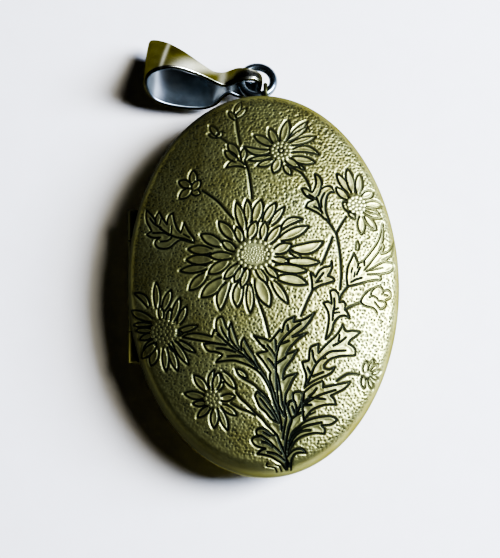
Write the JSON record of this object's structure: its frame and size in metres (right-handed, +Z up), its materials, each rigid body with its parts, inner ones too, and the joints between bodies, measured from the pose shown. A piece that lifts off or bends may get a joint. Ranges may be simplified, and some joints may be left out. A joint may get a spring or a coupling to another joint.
{
  "type": "locket",
  "caption": "Oval hinged locket in antiqued brass with a raised chrysanthemum spray on the cover, a jump ring and a folded strip bail.",
  "frame": {"origin": "lowest point of the domed back, on the surface that the locket lies on, under the middle of the oval", "axes": "+Z up out of the cover, +Y towards the jump ring and bail, the hinge at -X"},
  "size_m": [0.0315, 0.0535, 0.0109],
  "materials": {
    "back_brass": "antiqued satin",
    "cover_brass": "antiqued, worn bright on the relief",
    "pin_brass": "satin",
    "ring_metal": "darkened, polished",
    "bail_metal": "darkened, polished"
  },
  "bodies": {
    "case": {"case_back": "back_brass", "hinge_pin": "pin_brass", "jump_ring": "ring_metal", "bail": "bail_metal"},
    "cover_leaf": {"cover": "cover_brass"}
  },
  "joints": [
    {"name": "cover_hinge", "type": "hinge", "parent": "case", "child": "cover_leaf", "pos_m": [-0.015, 0, 0.00525], "axis": [0, -1, 0], "range_deg": [0, 95]}
  ]
}
